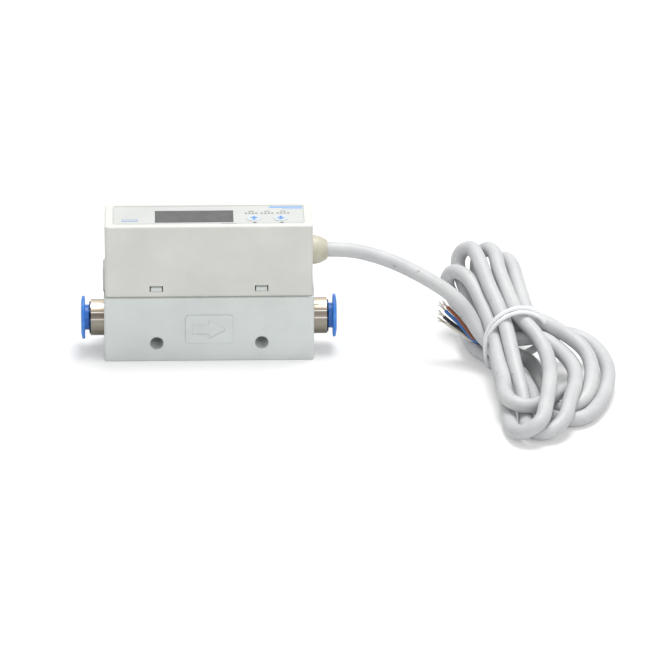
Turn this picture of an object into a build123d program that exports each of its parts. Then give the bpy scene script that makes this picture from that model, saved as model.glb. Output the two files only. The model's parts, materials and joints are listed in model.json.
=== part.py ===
from build123d import *
import os
from math import pi, radians, tan

# An in-line air flow sensor: a moulded block with a push-in tube fitting at each end, a housing with
# a display and two keys snapped on top, and a cable that ends in a tied hank with bare cores.
# X runs along the air tube, Y from front to back, Z up. The block stands on z = 0. Millimetres.

over = 1.0                             # cuts run past a surface by this much
pilot_room = 0.3                       # pilot holes run on past a screw's tip

# Flow block
block_length = 70.0
block_depth = 20.5
block_height = 23.0
block_corner = 1.0
foot_chamfer = 0.3
port_rise = 0.2                        # air axis above the middle of the block's height
channel_r = 2.2
mount_pitch = 35.0
mount_drop = 5.2                       # below the air axis
mount_r = 2.2
mount_chamfer = 0.25

# Raised pad with the flow arrow
pad_length = 15.8
pad_height = 10.3
pad_corner = 1.3
pad_raise = 0.35
arrow_sink = 0.2
arrow_length = 11.0
arrow_shaft = 3.6
arrow_head = 7.0
arrow_head_length = 5.5
arrow_tip = 0.8                        # the point is this blunt
arrow_shift = -0.2                     # the arrow sits a little left of the pad's middle

# Housing cover, snapped over four hooks of the block
ledge_x = 0.5                          # the block stands out past the cover at each end
ledge_y = 0.65
cover_height = 25.8
cover_wall = 1.8
cover_roof = 2.0
cover_corner = 1.2
cover_round = 0.8
seam_step = 0.4
hook_pitch = 35.0
hook_width = 3.7
hook_thickness = 1.1
hook_height = 4.3
hook_gap = 0.1                         # to the wall, and from the nib to the wall's face
hook_root = 0.5
nib_bottom = 2.15                      # above the block
nib_height = 1.75
nib_slope = 0.4
nib_play = 0.05
window_side = 0.35                     # snap window round the nib
window_top = 0.3
side_pad_raise = 0.8
side_pad_width = 8.0
side_pad_height = 8.5
side_pad_bevel = 0.7
seal_width = 1.0
seal_depth = 0.8
seal_corner = 0.8

# Foil, display and keys; places are measured from the foil's right end and from the cover's middle line
foil_border_x = 2.9
foil_border_y = 2.1
foil_thickness = 0.25
foil_recess = 0.3
foil_gap = 0.1
foil_corner = 1.0
pane_length = 25.9
pane_border_front = 1.3                # foil in front of and behind the pane
pane_border_back = 4.0
pane_thickness = 1.2
pane_ledge = 1.0
pane_gap = 0.05
pane_corner = 0.4
key_inset = 7.6                        # from the foil's right end to the second key
key_pitch = 8.9
key_from_front = 4.4                   # from the foil's front edge
key_hole_r = 2.25
key_disc_r = 2.5
key_disc_raise = 0.15
pane_to_key = 6.9
lamp_hole_r = 1.0
lamp_r = 0.9
lamp_gap = 0.1
lamp_from_key = 5.7
lamp_pitch = 5.45
lamp_from_end = 6.6
side_lamp_from_key = 4.9
side_lamp_gap = 2.2                    # left of the pane

# Boards
board_thickness = 1.2
board_gap_x = 0.2                      # to the gland's flange
board_gap_y = 0.4
main_post_height = 6.0
main_post_r = 2.2
main_post_inset = 13.2                 # from the cover's inner wall
boss_length = 5.35
boss_r = 2.0
boss_root = 0.2
boss_inset_x = 3.1
boss_inset_y = 2.8
screw_r = 0.9
screw_head_r = 1.6
screw_head_height = 1.2
screw_length = 4.0                     # below the board, into its post or boss
screw_clearance = 0.03
display_margin_x = 0.65                # display module inside the roof's opening
display_margin_y = 0.35
display_air = 0.5                      # under the pane
switch_size = 6.2
switch_height = 3.5
plunger_r = 1.75
plunger_clearance = 0.05
plunger_gap = 0.05                     # under the foil
key_travel = 0.25
switch_bore = 2.5
header_length = 20.4
header_depth = 2.54
header_inset = 2.0                     # from the display board's back edge
processor_size = 7.0
processor_height = 1.2
processor_from_post = 9.5
processor_y = -1.5
capacitor_r = 2.0
capacitor_room = 4.55                  # up to the display board
capacitor_from_post = 6.0
capacitor_pitch = 5.5
capacitor_y = -3.0
socket_length = 6.0
socket_depth = 10.0
socket_room = 2.05                     # up to the display board
socket_inset = 4.2                     # from the cover's inner wall

# Sensor
pocket_length = 26.0
pocket_side = 3.75                     # between the pocket and the block's faces
pocket_wall = 2.6                      # between air channel and pocket
slot_length = 8.0
slot_depth = 3.0
sensor_seal_length = 14.0
sensor_seal_side = 1.0                 # seal inside the sensor board's edge
sensor_seal_band = 2.0
sensor_seal_corner = 1.0
sensor_seal_thickness = 0.8
sensor_board_length = 22.0
sensor_board_side = 1.0                # board inside the pocket
sensor_board_thickness = 1.0
sensor_screw_pitch = 18.6
sensor_screw_r = 0.6
sensor_screw_head_r = 1.2
sensor_screw_head = 0.8
sensor_screw_length = 2.3              # below the board
sensor_boss_r = 1.3
chip_length = 2.0
chip_depth = 1.6
chip_thickness = 0.5
sensor_header_side = 1.7               # header inside the sensor board's edge
sensor_header_x = 5.5

# Push-in fittings
tube_bore_r = 3.05                     # for a 6 mm tube
bore_depth = 9.0
ring_space = 1.0                       # O-ring between the bore's bottom and the collar
ring_section_r = 0.48
collar_length = 13.0
collar_r = 6.1
collar_clearance = 0.02
collar_bevel = 0.6
collar_seat_r = 5.0
seal_seat_depth = 1.6
seal_bevel = 0.3
step_r = 4.2
step_length = 1.9
lip_length = 1.0
barrel_r = 4.25
barrel_clearance = 0.05
bead_r = 4.7
bead_length = 1.0
bead_ramp = 0.3
nose_bevel = 0.4
end_gap = 0.1
seat_gap = 0.05                        # rubber and grab ring inside the collar
grab_thickness = 0.3
grab_dip = 0.9                         # teeth lean inwards by this much
grab_slots = 8
grab_slot_width = 0.5
release_travel = 1.3
release_nose = 1.4                     # from the grab ring to the barrel's end
flange_r = 7.25
flange_rim = 1.0
flange_crown = 0.4
flange_round = 0.4
tube_seat_depth = 3.4
screen_r = 2.7
screen_gap = 0.05
screen_thickness = 0.3
screen_hole_r = 0.3
screen_ring_r = [0.95, 1.9]
screen_ring_counts = [6, 12]
spacer_length = 0.8
retainer_length = 0.8

# Cable
cable_r = 2.5
gland_share = 0.557                    # of the room between the boards, from the main board up
gland_hole_r = 3.3
gland_flange_r = 4.4
gland_flange = 1.2
gland_neck_gap = 0.02
gland_base_r = 4.9
gland_mouth_r = 3.1
gland_length = 5.1
gland_bulge_r = 4.35                   # radius of the dome a little past its middle
gland_bulge_at = 2.8
tail_gap = 0.4                         # from the boards' end to the jacket's inner end
lead_r = 0.55
lead_offset = 0.9
cable_lead = 6.8                       # first straight run out of the gland
cable_points = [                       # past the gland's mouth, across, share of the gland's height
    (14.0, -0.5, 0.958), (21.0, -2.0, 0.905), (27.9, -4.5, 0.838), (34.9, -7.5, 0.754),
    (40.9, -10.0, 0.662), (46.2, -13.0, 0.531), (50.0, -16.2, 0.391), (53.4, -20.6, 0.28)]

# Hank: ellipses across its length, from the rear loops to the front ones
tie_from_gland = 60.9
tie_y = -20.0
hank_heading = (0.26, -0.966, 0.0)
hank_sections = [                      # along, across, height, half width, half height, tilt
    (-43.0, 1.2, 24.0, 8.5, 6.0, 0.0),
    (-37.0, -1.2, 22.2, 13.0, 9.5, 5.0),
    (-28.0, -1.2, 19.6, 13.8, 10.8, 12.0),
    (-13.0, -0.5, 14.0, 12.2, 10.4, 15.0),
    (0.0, -0.3, 11.4, 10.8, 9.6, 0.0),
    (12.0, 8.5, 9.9, 20.0, 9.3, 8.0),
    (25.0, 7.0, 7.9, 21.5, 7.6, 4.0),
    (38.0, 2.4, 7.2, 19.6, 7.1, 0.0),
    (50.0, -4.4, 6.1, 13.7, 6.0, 0.0),
    (58.0, -8.2, 5.2, 8.0, 4.6, 0.0)]
tie_width = 2.4
tie_thickness = 0.9
core_r = 0.6
core_colours = ["brown", "blue", "black", "white"]
core_routes = {                        # inside the hank to the wires' tips: past the tie, across, height
    "brown": [(-10.0, 6.8, 7.8), (-13.3, 8.2, 11.6), (-16.9, 9.9, 15.2), (-20.6, 11.4, 18.0),
              (-22.9, 12.5, 20.2)],
    "blue": [(-10.9, 5.8, 7.9), (-14.0, 7.1, 11.3), (-17.7, 8.7, 14.0), (-21.0, 10.2, 16.4),
             (-24.2, 11.4, 18.8)],
    "black": [(-11.9, 4.8, 7.9), (-14.6, 6.1, 10.9), (-18.3, 7.6, 12.7), (-21.8, 9.1, 15.1),
              (-24.7, 10.4, 17.2)],
    "white": [(-11.9, 5.8, 6.6), (-14.9, 7.2, 9.9), (-18.5, 8.2, 11.4), (-21.3, 9.0, 12.9),
              (-23.9, 9.8, 14.3)]}

# Lengths and heights that follow
block_end = block_length / 2
block_face = block_depth / 2
port_height = block_height / 2 + port_rise
mount_height = port_height - mount_drop
pocket_floor = port_height + channel_r + pocket_wall
pocket_depth = block_depth - 2 * pocket_side
sensor_board_depth = pocket_depth - 2 * sensor_board_side
sensor_seal_depth = sensor_board_depth - 2 * sensor_seal_side
sensor_header_depth = sensor_board_depth - 2 * sensor_header_side
cover_end = block_end - ledge_x
cover_face = block_face - ledge_y
inner_end = cover_end - cover_wall
inner_face = cover_face - cover_wall
cover_top = block_height + cover_height
roof_under = cover_top - cover_roof
foil_seat = cover_top - foil_recess
foil_top = foil_seat + foil_thickness
foil_end = cover_end - foil_border_x
foil_face = cover_face - foil_border_y
pane_under = foil_top - pane_thickness
pane_depth = 2 * foil_face - pane_border_front - pane_border_back
pane_y = (pane_border_front - pane_border_back) / 2
key_y = key_from_front - foil_face
lamp_y = key_y + lamp_from_key
side_lamp_y = key_y + side_lamp_from_key
key_places = [(foil_end - key_inset - key_pitch, key_y), (foil_end - key_inset, key_y)]
pane_right = key_places[0][0] - pane_to_key
pane_x = pane_right - pane_length / 2
pane_left = pane_right - pane_length
lamp_places = [(foil_end - lamp_from_end - 2 * lamp_pitch, lamp_y),
               (foil_end - lamp_from_end - lamp_pitch, lamp_y),
               (foil_end - lamp_from_end, lamp_y),
               (pane_left - side_lamp_gap, side_lamp_y)]
main_board_z = block_height + main_post_height
main_board_top = main_board_z + board_thickness
display_board_top = roof_under - boss_length
display_board_z = display_board_top - board_thickness
boss_x = inner_end - boss_inset_x
boss_y = inner_face - boss_inset_y
boss_places = [(-boss_x, -boss_y), (-boss_x, boss_y), (boss_x, -boss_y), (boss_x, boss_y)]
board_end = inner_end - gland_flange - board_gap_x
board_face = inner_face - board_gap_y
header_y = board_face - header_inset
board_room = display_board_z - main_board_top
gland_height = main_board_top + gland_share * board_room
main_post_x = inner_end - main_post_inset
main_post_places = [(-main_post_x, 0), (main_post_x, 0)]
sensor_screw_places = [(-sensor_screw_pitch / 2, 0), (sensor_screw_pitch / 2, 0)]
sensor_board_z = pocket_floor + sensor_seal_thickness
switch_top = display_board_top + switch_height
bore_bottom = block_end - bore_depth
collar_inner = bore_bottom + ring_space
collar_outer = collar_inner + collar_length
step_start = collar_inner + seal_seat_depth
step_end = step_start + step_length
tube_stop = bore_bottom - tube_seat_depth
stack_length = 2 * screen_thickness + spacer_length + retainer_length
stack_end = tube_stop - stack_length
screen_seat_r = screen_r + screen_gap
grab_outer = step_end + grab_thickness
release_inner = grab_outer + release_nose
flange_inner = collar_outer + end_gap + release_travel
bead_outer = collar_outer - lip_length - end_gap
gland_mouth = cover_end + gland_length
tail_start = board_end + tail_gap
socket_end = inner_end - socket_inset
tie_x = gland_mouth + tie_from_gland


# A block between limits along X, Y and Z
def box(x0, x1, y0, y1, z0, z1):
    return Pos((x0 + x1) / 2, (y0 + y1) / 2, (z0 + z1) / 2) * Box(x1 - x0, y1 - y0, z1 - z0)


# An upright cylinder between two heights
def post(x, y, z0, z1, r):
    return Pos(x, y, (z0 + z1) / 2) * Cylinder(r, z1 - z0)


# A cylinder along X
def rod(x0, x1, r, y, z):
    return Pos((x0 + x1) / 2, y, z) * (Rot(0, 90, 0) * Cylinder(r, x1 - x0))


# An upright plate with rounded corners
def plate(x, y, length, depth, corner, z0, z1):
    return Pos(x, y, z0) * extrude(RectangleRounded(length, depth, corner), z1 - z0)


# An outline of (x, radius) pairs turned about a line along X
def turned(outline, height):
    plane = Plane(origin=(0, 0, height), x_dir=(1, 0, 0), z_dir=(0, -1, 0))
    return revolve(plane * make_face(outline), Axis((0, 0, height), (1, 0, 0)), 360)


def turned_points(points, height=port_height):
    return turned(Polyline(*points, close=True), height)


# Circular edges of one radius at one place along X
def rims(solid, x, r):
    circles = solid.edges().filter_by(GeomType.CIRCLE)
    return [e for e in circles if abs(e.arc_center.X - x) < 0.01 and abs(e.radius - r) < 0.01]


def seal_frame(length, depth, corner, band, z0, z1):
    outer = plate(0, 0, length + band, depth + band, corner + band, z0, z1)
    return outer - plate(0, 0, length - band, depth - band, corner, z0 - over, z1 + over)


# Hook outline in (y, z), run along X
def snap_hook(x):
    outer = inner_face - hook_gap
    inner = outer - hook_thickness
    reach = cover_face - hook_gap
    low = block_height + nib_bottom
    top = block_height + hook_height
    root = block_height - hook_root
    points = [(inner, root), (outer, root), (outer, low), (reach, low), (reach, low + nib_height - nib_slope),
              (outer, low + nib_height), (outer, top), (inner, top)]
    face = Plane.YZ * make_face(Polyline(*points, close=True))
    return Pos(x - hook_width / 2, 0, 0) * extrude(face, hook_width, dir=(1, 0, 0))


def flow_arrow():
    half = arrow_length / 2
    neck = half - arrow_head_length
    tip = arrow_tip / 2
    points = [(-half, -arrow_shaft / 2), (neck, -arrow_shaft / 2), (neck, -arrow_head / 2), (half, -tip),
              (half, tip), (neck, arrow_head / 2), (neck, arrow_shaft / 2), (-half, arrow_shaft / 2)]
    place = (arrow_shift, -block_face - pad_raise, port_height)
    plane = Plane(origin=place, x_dir=(1, 0, 0), z_dir=(0, -1, 0))
    return extrude(plane * make_face(Polyline(*points, close=True)), -arrow_sink)


# Everything that one end of the air path cuts out of the block
def port_cut(side):
    seat_r = collar_r + collar_clearance
    cut = turned_points([(bore_bottom, 0), (block_end + over, 0), (block_end + over, seat_r),
                         (bore_bottom, seat_r)])
    cut += turned_points([(tube_stop, 0), (bore_bottom + over, 0), (bore_bottom + over, tube_bore_r),
                          (tube_stop, tube_bore_r)])
    cut += turned_points([(stack_end, 0), (tube_stop + over, 0), (tube_stop + over, screen_seat_r),
                          (stack_end, screen_seat_r)])
    return cut if side > 0 else mirror(cut, about=Plane.YZ)


def flow_block():
    body = box(-block_end, block_end, -block_face, block_face, 0, block_height)
    body = fillet(body.edges().filter_by(Axis.Z), block_corner)
    body = chamfer(body.faces().sort_by(Axis.Z)[0].edges(), foot_chamfer)
    pad_plane = Plane(origin=(0, -block_face, port_height), x_dir=(1, 0, 0), z_dir=(0, -1, 0))
    body += extrude(pad_plane * RectangleRounded(pad_length, pad_height, pad_corner), pad_raise)
    body -= flow_arrow()
    for x in (-hook_pitch / 2, hook_pitch / 2):
        hook = snap_hook(x)
        body += hook
        body += mirror(hook, about=Plane.XZ)
    body -= rod(-stack_end - over, stack_end + over, channel_r, 0, port_height)
    for side in (-1, 1):
        body -= port_cut(side)
    half_pocket = pocket_length / 2
    body -= box(-half_pocket, half_pocket, -pocket_depth / 2, pocket_depth / 2,
                pocket_floor, block_height + over)
    body -= box(-slot_length / 2, slot_length / 2, -slot_depth / 2, slot_depth / 2,
                port_height, pocket_floor + over)
    body -= seal_frame(2 * cover_end - cover_wall, 2 * cover_face - cover_wall, seal_corner, seal_width,
                       block_height - seal_depth, block_height + over)
    for x, y in main_post_places:
        body += post(x, y, block_height - hook_root, main_board_z, main_post_r)
        body -= post(x, y, main_board_z - screw_length - pilot_room, main_board_z + over,
                     screw_r + screw_clearance)
    for x, y in sensor_screw_places:
        body += post(x, y, pocket_floor - hook_root, sensor_board_z, sensor_boss_r)
        body -= post(x, y, sensor_board_z - sensor_screw_length - pilot_room, sensor_board_z + over,
                     sensor_screw_r + screw_clearance)
    for x in (-mount_pitch / 2, mount_pitch / 2):
        body -= Pos(x, 0, mount_height) * (Rot(90, 0, 0) * Cylinder(mount_r, block_depth + 2 * over))
        for side in (-1, 1):
            rim = Cone(mount_r, mount_r + mount_chamfer, mount_chamfer)
            turn = Rot(90, 0, 0) if side < 0 else Rot(-90, 0, 0)
            body -= Pos(x, side * (block_face - mount_chamfer / 2), mount_height) * (turn * rim)
    return body


def cover_seal():
    return seal_frame(2 * cover_end - cover_wall, 2 * cover_face - cover_wall, seal_corner, seal_width,
                      block_height - seal_depth, block_height)


def housing_cover():
    shell = plate(0, 0, 2 * cover_end, 2 * cover_face, cover_corner, block_height, cover_top)
    shell = fillet(shell.faces().sort_by(Axis.Z)[-1].edges(), cover_round)
    shell -= box(-inner_end, inner_end, -inner_face, inner_face, block_height - over, roof_under)
    step = plate(0, 0, 2 * (cover_end + over), 2 * (cover_face + over), cover_corner,
                 block_height - over, block_height + seam_step)
    step -= plate(0, 0, 2 * (cover_end - seam_step), 2 * (cover_face - seam_step), cover_corner - seam_step,
                  block_height - over, block_height + seam_step)
    shell -= step
    pad = box(-cover_end - side_pad_raise, -cover_end + over, -side_pad_width / 2, side_pad_width / 2,
              block_height, block_height + side_pad_height)
    shell += chamfer(pad.edges().filter_by(Axis.Y).sort_by(Axis.Z)[-2:].sort_by(Axis.X)[0], side_pad_bevel)
    low = block_height + nib_bottom - nib_play
    high = block_height + nib_bottom + nib_height + window_top
    for x in (-hook_pitch / 2, hook_pitch / 2):
        half = hook_width / 2 + window_side
        shell -= box(x - half, x + half, -cover_face - over, cover_face + over, low, high)
    shell -= plate(0, 0, 2 * (foil_end + foil_gap), 2 * (foil_face + foil_gap), foil_corner + foil_gap,
                   foil_seat, cover_top + over)
    half_pane = pane_length / 2 + pane_gap
    half_pane_y = pane_depth / 2 + pane_gap
    shell -= box(pane_x - half_pane, pane_x + half_pane, pane_y - half_pane_y, pane_y + half_pane_y,
                 pane_under, cover_top)
    half_view = pane_length / 2 - pane_ledge
    half_view_y = pane_depth / 2 - pane_ledge
    shell -= box(pane_x - half_view, pane_x + half_view, pane_y - half_view_y, pane_y + half_view_y,
                 roof_under - over, cover_top)
    for x, y in key_places:
        shell -= post(x, y, roof_under - over, cover_top, key_hole_r)
    for x, y in lamp_places:
        shell -= post(x, y, roof_under - over, cover_top, lamp_hole_r)
    shell -= rod(inner_end - over, cover_end + over, gland_hole_r, 0, gland_height)
    for x, y in boss_places:
        shell += post(x, y, display_board_top, roof_under + boss_root, boss_r)
        shell -= post(x, y, display_board_top - over, display_board_top + screw_length + pilot_room,
                      screw_r + screw_clearance)
    return shell


def keypad_foil():
    foil = plate(0, 0, 2 * foil_end, 2 * foil_face, foil_corner, foil_seat, foil_top)
    half_pane = pane_length / 2 + pane_gap
    half_pane_y = pane_depth / 2 + pane_gap
    foil -= box(pane_x - half_pane, pane_x + half_pane, pane_y - half_pane_y, pane_y + half_pane_y,
                foil_seat - over, foil_top + over)
    for x, y in key_places:
        foil += post(x, y, foil_seat, foil_top + key_disc_raise, key_disc_r)
    return foil


def display_window():
    half = pane_length / 2
    pane = box(pane_x - half, pane_x + half, pane_y - pane_depth / 2, pane_y + pane_depth / 2,
               pane_under, foil_top)
    return fillet(pane.edges().filter_by(Axis.Z), pane_corner)


def display_module():
    half = pane_length / 2 - pane_ledge - display_margin_x
    half_y = pane_depth / 2 - pane_ledge - display_margin_y
    return box(pane_x - half, pane_x + half, pane_y - half_y, pane_y + half_y,
               display_board_top, pane_under - display_air)


def display_board():
    board = box(-board_end, board_end, -board_face, board_face, display_board_z, display_board_top)
    for x, y in boss_places:
        board -= post(x, y, display_board_z - over, display_board_top + over, screw_r + screw_clearance)
    return board


def display_board_screw(index):
    x, y = boss_places[index]
    shank = post(x, y, display_board_z, display_board_top + screw_length, screw_r)
    return shank + post(x, y, display_board_z - screw_head_height, display_board_z, screw_head_r)


def main_board():
    board = box(-board_end, board_end, -board_face, board_face, main_board_z, main_board_top)
    for x, y in main_post_places:
        board -= post(x, y, main_board_z - over, main_board_top + over, screw_r + screw_clearance)
    return board


def main_board_screw(index):
    x, y = main_post_places[index]
    shank = post(x, y, main_board_z - screw_length, main_board_top, screw_r)
    return shank + post(x, y, main_board_top, main_board_top + screw_head_height, screw_head_r)


def status_led(index):
    x, y = lamp_places[index]
    return post(x, y, display_board_top, foil_seat - lamp_gap, lamp_r)


def key_switch(index):
    x, y = key_places[index]
    half = switch_size / 2
    switch = box(x - half, x + half, y - half, y + half, display_board_top, switch_top)
    return switch - post(x, y, switch_top - switch_bore, switch_top + over, plunger_r + plunger_clearance)


def key_plunger(index):
    x, y = key_places[index]
    bottom = switch_top - switch_bore + 2 * key_travel
    return post(x, y, bottom, foil_seat - plunger_gap, plunger_r)


def board_header():
    half = header_length / 2
    return box(-half, half, header_y - header_depth / 2, header_y + header_depth / 2,
               main_board_top, display_board_z)


def processor():
    half = processor_size / 2
    middle = processor_from_post - main_post_x
    return box(middle - half, middle + half, processor_y - half, processor_y + half,
               main_board_top, main_board_top + processor_height)


def capacitor(index):
    x = main_post_x - capacitor_from_post - index * capacitor_pitch
    return post(x, capacitor_y, main_board_top, display_board_z - capacitor_room, capacitor_r)


def cable_socket():
    return box(socket_end - socket_length, socket_end, -socket_depth / 2, socket_depth / 2,
               main_board_top, display_board_z - socket_room)


def cable_tail():
    tail = rod(tail_start, gland_mouth, cable_r, 0, gland_height)
    for y in (-lead_offset, lead_offset):
        for z in (-lead_offset, lead_offset):
            tail += rod(socket_end, tail_start + over, lead_r, y, gland_height + z)
    return tail


def sensor_seal():
    outer = plate(0, 0, sensor_seal_length, sensor_seal_depth, sensor_seal_corner,
                  pocket_floor, sensor_board_z)
    inside_length = sensor_seal_length - 2 * sensor_seal_band
    inside_depth = sensor_seal_depth - 2 * sensor_seal_band
    return outer - plate(0, 0, inside_length, inside_depth, sensor_seal_corner / 2,
                         pocket_floor - over, sensor_board_z + over)


def sensor_board():
    half = sensor_board_length / 2
    board = box(-half, half, -sensor_board_depth / 2, sensor_board_depth / 2,
                sensor_board_z, sensor_board_z + sensor_board_thickness)
    for x, y in sensor_screw_places:
        board -= post(x, y, sensor_board_z - over, sensor_board_z + sensor_board_thickness + over,
                      sensor_screw_r + screw_clearance)
    return board


def sensor_screw(index):
    x, y = sensor_screw_places[index]
    top = sensor_board_z + sensor_board_thickness
    shank = post(x, y, sensor_board_z - sensor_screw_length, top, sensor_screw_r)
    return shank + post(x, y, top, top + sensor_screw_head, sensor_screw_head_r)


def sensor_chip():
    return box(-chip_length / 2, chip_length / 2, -chip_depth / 2, chip_depth / 2,
               sensor_board_z - chip_thickness, sensor_board_z)


def sensor_header():
    return box(sensor_header_x - header_depth / 2, sensor_header_x + header_depth / 2,
               -sensor_header_depth / 2, sensor_header_depth / 2,
               sensor_board_z + sensor_board_thickness, main_board_z)


# The pieces of the right-hand fitting; the left-hand ones are their mirror images
def collar():
    lip_r = barrel_r + barrel_clearance
    outline = [(collar_inner, collar_seat_r), (step_start, collar_seat_r), (step_start, step_r),
               (step_end, step_r), (step_end, collar_seat_r), (collar_outer - lip_length, collar_seat_r),
               (collar_outer - lip_length, lip_r), (collar_outer, lip_r),
               (collar_outer, collar_r - collar_bevel), (collar_outer - collar_bevel, collar_r),
               (collar_inner, collar_r)]
    return turned_points(outline)


def collar_ring():
    middle = (collar_seat_r + seat_gap + collar_r) / 2
    place = Location((bore_bottom + ring_space / 2, 0, port_height), (0, 90, 0))
    return place * Torus(middle, ring_section_r)


def tube_seal():
    outer = collar_seat_r - seat_gap
    wide = tube_bore_r + seal_bevel
    lip = [(bore_bottom, wide), (bore_bottom + seal_bevel, tube_bore_r),
           (step_start - seal_bevel, tube_bore_r), (step_start, wide), (step_start, outer),
           (bore_bottom, outer)]
    return turned_points(lip)


def grab_ring():
    outer = collar_seat_r - seat_gap
    tip = tube_bore_r + seat_gap
    ring = turned_points([(step_end, outer), (grab_outer, outer), (grab_outer, step_r),
                          (grab_outer - grab_dip, tip), (step_end - grab_dip, tip), (step_end, step_r)])
    for i in range(grab_slots):
        slot = box(step_end - grab_dip - over, grab_outer + over, -grab_slot_width / 2, grab_slot_width / 2,
                   0, step_r)
        ring -= Pos(0, 0, port_height) * (Rot(360 / grab_slots * i, 0, 0) * slot)
    return ring


def release_ring():
    flange_outer = flange_inner + flange_rim
    crown = flange_outer + flange_crown
    crown_r = (tube_bore_r + flange_r) / 2
    bead_inner = bead_outer - bead_length
    outline = [(release_inner, tube_bore_r), (release_inner, barrel_r - nose_bevel),
               (release_inner + nose_bevel, barrel_r), (bead_inner, barrel_r),
               (bead_inner + bead_ramp, bead_r), (bead_outer, bead_r), (bead_outer, barrel_r),
               (flange_inner, barrel_r), (flange_inner, flange_r), (flange_outer, flange_r),
               (crown, crown_r), (crown, tube_bore_r)]
    ring = turned_points(outline)
    ring = fillet(rims(ring, flange_outer, flange_r) + rims(ring, flange_inner, flange_r), flange_round)
    return fillet(rims(ring, crown, tube_bore_r), flange_round)


# Perforated disc between two places along the air axis
def screen(x0, x1):
    disc = rod(x0, x1, screen_r, 0, port_height)
    disc -= rod(x0 - over, x1 + over, screen_hole_r, 0, port_height)
    for ring_r, count in zip(screen_ring_r, screen_ring_counts):
        for i in range(count):
            hole = Rot(360 / count * i, 0, 0) * rod(x0 - over, x1 + over, screen_hole_r, ring_r, 0)
            disc -= Pos(0, 0, port_height) * hole
    return disc


def stack_ring(x0, x1):
    return rod(x0, x1, screen_r, 0, port_height) - rod(x0 - over, x1 + over, channel_r, 0, port_height)


# Moulded strain relief: a flange inside the wall, a neck through it and a dome outside
def cable_gland():
    bore = cable_r + gland_neck_gap
    neck = gland_hole_r - gland_neck_gap
    flange_in = inner_end - gland_flange
    base = Polyline((gland_mouth, gland_mouth_r), (gland_mouth, bore), (flange_in, bore),
                    (flange_in, gland_flange_r), (inner_end, gland_flange_r), (inner_end, neck),
                    (cover_end, neck), (cover_end, gland_base_r))
    dome = ThreePointArc((cover_end, gland_base_r), (cover_end + gland_bulge_at, gland_bulge_r),
                         (gland_mouth, gland_mouth_r))
    return turned(base + dome, gland_height)


# A round tube through points, with the largest tangent arc that each pair of runs allows
def tube(points, r):
    places = [Vector(*p) for p in points]
    radii = []
    for before, corner, after in zip(places, places[1:], places[2:]):
        turn = (corner - before).get_angle(after - corner)
        run = min((corner - before).length, (after - corner).length)
        radii.append(0.45 * run / tan(radians(turn / 2)))
    path = FilletPolyline(*places, radius=radii)
    start = Plane(origin=path @ 0, z_dir=path % 0)
    solid = sweep(start * Circle(r), path=path)
    ratio = solid.volume / (path.length * pi * r * r)
    print("radii", [round(v, 1) for v in radii])
    print("length", round(path.length, 1), "volume ratio", round(ratio, 5))
    return solid


def cable_route():
    first = (gland_mouth, 0, gland_height)
    second = (gland_mouth + cable_lead, 0, gland_height)
    return [first, second] + [(gland_mouth + x, y, gland_height * share) for x, y, share in cable_points]


def core_route(colour):
    return [(tie_x + x, tie_y + y, z) for x, y, z in core_routes[colour]]


# The plane across the hank at one distance from its tie
def hank_plane(along, across, height, tilt):
    heading = Vector(*hank_heading).normalized()
    side = heading.cross(Vector(0, 0, 1)) * -1
    place = Vector(tie_x, tie_y, height) + heading * along + side * across
    return Plane(origin=place, x_dir=side, z_dir=heading).rotated((0, 0, tilt))


def cable_hank():
    rings = []
    for along, across, height, half_width, half_height, tilt in hank_sections:
        rings.append(hank_plane(along, across, height, tilt) * Ellipse(half_width, half_height))
    return loft(rings, ruled=True)


def hank_tie(hank):
    waist = min(hank_sections, key=lambda section: abs(section[0]))
    along, across, height, half_width, half_height, tilt = waist
    outline = Ellipse(half_width + tie_thickness, half_height + tie_thickness)
    band = extrude(hank_plane(along, across, height, tilt) * outline, tie_width / 2, both=True)
    return band - hank


def build():
    parts = {"flow_block": flow_block(), "housing_cover": housing_cover(), "cover_seal": cover_seal(),
             "keypad_foil": keypad_foil(), "display_window": display_window(),
             "display_module": display_module(), "display_board": display_board(), "main_board": main_board(),
             "board_header": board_header(), "processor": processor(), "cable_socket": cable_socket(),
             "cable_tail": cable_tail(), "sensor_seal": sensor_seal(), "sensor_board": sensor_board(),
             "sensor_chip": sensor_chip(), "sensor_header": sensor_header(), "cable_gland": cable_gland()}
    for i in range(4):
        parts[f"display_board_screw_{i + 1}"] = display_board_screw(i)
        parts[f"status_led_{i + 1}"] = status_led(i)
    for i in range(2):
        parts[f"main_board_screw_{i + 1}"] = main_board_screw(i)
        parts[f"sensor_screw_{i + 1}"] = sensor_screw(i)
        parts[f"capacitor_{i + 1}"] = capacitor(i)
        parts[f"key_switch_{i + 1}"] = key_switch(i)
        parts[f"key_plunger_{i + 1}"] = key_plunger(i)
    fitting = {"collar": collar(), "collar_ring": collar_ring(), "tube_seal": tube_seal(),
               "grab_ring": grab_ring(), "release_ring": release_ring()}
    for name, piece in fitting.items():
        parts["right_" + name] = piece
        parts["left_" + name] = mirror(piece, about=Plane.YZ)
    first = stack_end + screen_thickness
    second = first + spacer_length
    parts["middle_screen"] = screen(-first, -stack_end)
    parts["screen_spacer"] = stack_ring(-second, -first)
    parts["inlet_screen"] = screen(-second - screen_thickness, -second)
    parts["inlet_retainer"] = stack_ring(-tube_stop, -second - screen_thickness)
    parts["outlet_screen"] = screen(stack_end, first)
    parts["outlet_retainer"] = stack_ring(first, tube_stop)
    hank = cable_hank()
    parts["cable_hank"] = hank
    parts["hank_tie"] = hank_tie(hank)
    parts["cable"] = tube(cable_route(), cable_r) - hank
    for colour in core_colours:
        parts["core_" + colour] = tube(core_route(colour), core_r) - hank
    return parts


os.makedirs("parts", exist_ok=True)
for node, shape in build().items():
    export_step(shape, f"parts/{node}.step")
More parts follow.
